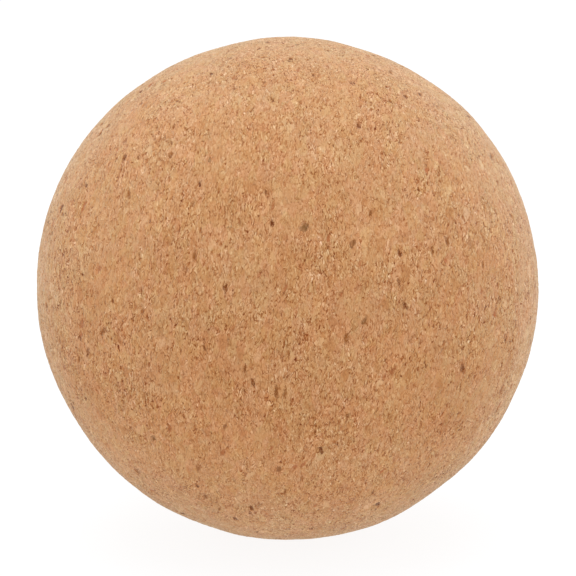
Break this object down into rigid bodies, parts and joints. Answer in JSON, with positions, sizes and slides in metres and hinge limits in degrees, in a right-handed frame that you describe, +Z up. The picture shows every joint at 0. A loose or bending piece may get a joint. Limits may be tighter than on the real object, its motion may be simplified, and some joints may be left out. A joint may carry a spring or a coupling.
{
  "type": "massage ball",
  "caption": "Solid ball of fine-grained agglomerated cork, rolled between the body and a floor or wall to massage muscles.",
  "frame": {"origin": "centre of the ball", "axes": "+Z up; the ball is the same about every axis, so +X and +Y are free choices"},
  "size_m": [0.1, 0.1, 0.1],
  "materials": {
    "agglomerated_cork": "bare, fine-sanded agglomerated cork, matte with a faint fuzz at grazing angles"
  },
  "bodies": {
    "root": {"cork_ball": "agglomerated_cork"}
  },
  "joints": []
}
